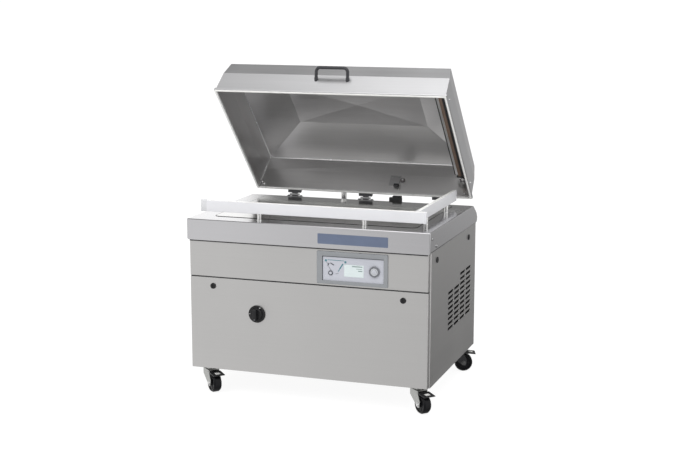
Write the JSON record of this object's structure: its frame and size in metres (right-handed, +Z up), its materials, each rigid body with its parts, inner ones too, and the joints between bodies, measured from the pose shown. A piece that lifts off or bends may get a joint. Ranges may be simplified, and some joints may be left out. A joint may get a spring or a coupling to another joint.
{
  "type": "chamber vacuum sealer",
  "caption": "Floor-standing chamber vacuum sealer with a stainless cabinet on casters, a deep hinged lid, lifting seal bars and a front control panel.",
  "frame": {"origin": "floor level, under the middle of the overall box with the lid open", "axes": "+X to the operator's right, +Y to the rear, +Z up"},
  "size_m": [1.112, 0.8632, 1.3787],
  "materials": {
    "sheet_steel": "brushed stainless sheet",
    "lid_steel": "brushed stainless sheet",
    "deck_steel": "polished brushed stainless",
    "polished_steel": "polished",
    "seal_aluminium": "white anodised",
    "heat_wire": "flat heating band",
    "counter_aluminium": "anodised",
    "silicone": "brown silicone",
    "seal_rubber": "black rubber",
    "gasket_silicone": "white silicone",
    "hinge_steel": "dark grey",
    "spring_steel": "spring wire",
    "grip_plastic": "dark grey moulded",
    "black_plastic": "black moulded",
    "label_plastic": "slate blue film",
    "bezel_plastic": "grey moulded",
    "keypad_plastic": "silver film",
    "screen": "pale display",
    "dial_plastic": "grey moulded",
    "board_green": "circuit board",
    "cast_grey": "cast housing",
    "motor_paint": "painted housing",
    "hose_rubber": "reinforced hose",
    "core_steel": "laminated core",
    "zinc_steel": "zinc plated",
    "wheel_rubber": "black tread"
  },
  "bodies": {
    "cabinet": {"base_tray": "sheet_steel", "left_side_panel": "sheet_steel", "right_side_panel": "sheet_steel", "rear_panel": "sheet_steel", "front_service_panel": "sheet_steel", "control_fascia": "sheet_steel", "chamber_deck": "deck_steel", "work_plate": "deck_steel", "seal_cylinders": "counter_aluminium", "deck_hinge_brackets": "hinge_steel", "hinge_pins": "polished_steel", "lid_torsion_springs": "spring_steel", "lid_stop_post": "polished_steel", "lid_stop_buffer": "seal_rubber", "label_plate": "label_plastic", "control_bezel": "bezel_plastic", "control_keypad": "keypad_plastic", "lcd_display": "screen", "control_board": "board_green", "main_switch_base": "black_plastic", "vacuum_pump": "cast_grey", "pump_motor": "motor_paint", "vacuum_hose": "hose_rubber", "seal_transformer": "core_steel", "cable_gland": "black_plastic", "caster_plates": "zinc_steel"},
    "lid": {"lid_shell": "lid_steel", "lid_gasket": "gasket_silicone", "lid_handle": "grip_plastic", "front_counter_bar": "counter_aluminium", "right_counter_bar": "counter_aluminium", "silicone_strips": "silicone", "lid_hinge_leaves": "hinge_steel", "lid_backing_bracket": "lid_steel"},
    "front_seal": {"front_seal_bar": "seal_aluminium", "front_seal_wire": "heat_wire", "front_seal_posts": "polished_steel"},
    "right_seal": {"right_seal_bar": "seal_aluminium", "right_seal_wire": "heat_wire", "right_seal_posts": "polished_steel"},
    "main_switch": {"main_switch_knob": "black_plastic"},
    "dial": {"dial_knob": "dial_plastic"},
    "stop": {"stop_button": "keypad_plastic"},
    "lock_front_left": {"lock_front_left": "black_plastic"},
    "lock_front_right": {"lock_front_right": "black_plastic"},
    "lock_side_front": {"lock_side_front": "black_plastic"},
    "lock_side_rear": {"lock_side_rear": "black_plastic"},
    "fork_fl": {"caster_fork_fl": "zinc_steel"},
    "wheel_fl": {"caster_wheel_fl": "wheel_rubber"},
    "pedal_fl": {"caster_pedal_fl": "zinc_steel"},
    "fork_fr": {"caster_fork_fr": "zinc_steel"},
    "wheel_fr": {"caster_wheel_fr": "wheel_rubber"},
    "pedal_fr": {"caster_pedal_fr": "zinc_steel"},
    "fork_rl": {"caster_fork_rl": "zinc_steel"},
    "wheel_rl": {"caster_wheel_rl": "wheel_rubber"},
    "pedal_rl": {"caster_pedal_rl": "zinc_steel"},
    "fork_rr": {"caster_fork_rr": "zinc_steel"},
    "wheel_rr": {"caster_wheel_rr": "wheel_rubber"},
    "pedal_rr": {"caster_pedal_rr": "zinc_steel"}
  },
  "joints": [
    {"name": "lid_hinge", "type": "hinge", "parent": "cabinet", "child": "lid", "pos_m": [0, 0.33336, 0.74158], "axis": [-1, 0, 0], "range_deg": [-46.3, 0], "stiffness_Nm_per_rad": 60, "springref_deg": 91.67},
    {"name": "front_seal_lift", "type": "slide", "parent": "cabinet", "child": "front_seal", "axis": [0, 0, 1], "range_m": [0, 0.01]},
    {"name": "right_seal_lift", "type": "slide", "parent": "cabinet", "child": "right_seal", "axis": [0, 0, 1], "range_m": [0, 0.01]},
    {"name": "main_switch_turn", "type": "hinge", "parent": "cabinet", "child": "main_switch", "pos_m": [-0.2185, -0.3986, 0.363], "axis": [0, 1, 0], "range_deg": [0, 90]},
    {"name": "dial_turn", "type": "hinge", "parent": "cabinet", "child": "dial", "pos_m": [0.2956, -0.3986, 0.5786], "axis": [0, 1, 0], "continuous": true},
    {"name": "stop_press", "type": "slide", "parent": "cabinet", "child": "stop", "axis": [0, 1, 0], "range_m": [0, 0.0015], "stiffness_N_per_m": 600},
    {"name": "lock_front_left_turn", "type": "hinge", "parent": "cabinet", "child": "lock_front_left", "pos_m": [-0.4165, -0.3986, 0.469], "axis": [0, 1, 0], "range_deg": [0, 90]},
    {"name": "lock_front_right_turn", "type": "hinge", "parent": "cabinet", "child": "lock_front_right", "pos_m": [0.4165, -0.3986, 0.469], "axis": [0, 1, 0], "range_deg": [0, 90]},
    {"name": "lock_side_front_turn", "type": "hinge", "parent": "cabinet", "child": "lock_side_front", "pos_m": [0.527, -0.2936, 0.6237], "axis": [-1, 0, 0], "range_deg": [0, 90]},
    {"name": "lock_side_rear_turn", "type": "hinge", "parent": "cabinet", "child": "lock_side_rear", "pos_m": [0.527, 0.2284, 0.6237], "axis": [-1, 0, 0], "range_deg": [0, 90]},
    {"name": "swivel_fl", "type": "hinge", "parent": "cabinet", "child": "fork_fl", "pos_m": [-0.456, -0.3506, 0.1], "axis": [0, 0, 1], "continuous": true},
    {"name": "spin_fl", "type": "hinge", "parent": "fork_fl", "child": "wheel_fl", "pos_m": [-0.42925, -0.37469, 0.04], "axis": [0.6691, 0.7431, 0], "continuous": true},
    {"name": "brake_fl", "type": "hinge", "parent": "fork_fl", "child": "pedal_fl", "pos_m": [-0.43668, -0.368, 0.0875], "axis": [0.6691, 0.7431, 0], "range_deg": [0, 6]},
    {"name": "swivel_fr", "type": "hinge", "parent": "cabinet", "child": "fork_fr", "pos_m": [0.47, -0.3506, 0.1], "axis": [0, 0, 1], "continuous": true},
    {"name": "spin_fr", "type": "hinge", "parent": "fork_fr", "child": "wheel_fr", "pos_m": [0.49675, -0.37469, 0.04], "axis": [0.6691, 0.7431, 0], "continuous": true},
    {"name": "brake_fr", "type": "hinge", "parent": "fork_fr", "child": "pedal_fr", "pos_m": [0.48932, -0.368, 0.0875], "axis": [0.6691, 0.7431, 0], "range_deg": [0, 6]},
    {"name": "swivel_rl", "type": "hinge", "parent": "cabinet", "child": "fork_rl", "pos_m": [-0.463, 0.2774, 0.1], "axis": [0, 0, 1], "continuous": true},
    {"name": "spin_rl", "type": "hinge", "parent": "fork_rl", "child": "wheel_rl", "pos_m": [-0.49704, 0.28912, 0.04], "axis": [-0.3256, -0.9455, 0], "continuous": true},
    {"name": "brake_rl", "type": "hinge", "parent": "fork_rl", "child": "pedal_rl", "pos_m": [-0.48758, 0.28586, 0.0875], "axis": [-0.3256, -0.9455, 0], "range_deg": [0, 6]},
    {"name": "swivel_rr", "type": "hinge", "parent": "cabinet", "child": "fork_rr", "pos_m": [0.463, 0.2774, 0.1], "axis": [0, 0, 1], "continuous": true},
    {"name": "spin_rr", "type": "hinge", "parent": "fork_rr", "child": "wheel_rr", "pos_m": [0.49704, 0.28912, 0.04], "axis": [-0.3256, 0.9455, 0], "continuous": true},
    {"name": "brake_rr", "type": "hinge", "parent": "fork_rr", "child": "pedal_rr", "pos_m": [0.48758, 0.28586, 0.0875], "axis": [-0.3256, 0.9455, 0], "range_deg": [0, 6]}
  ]
}
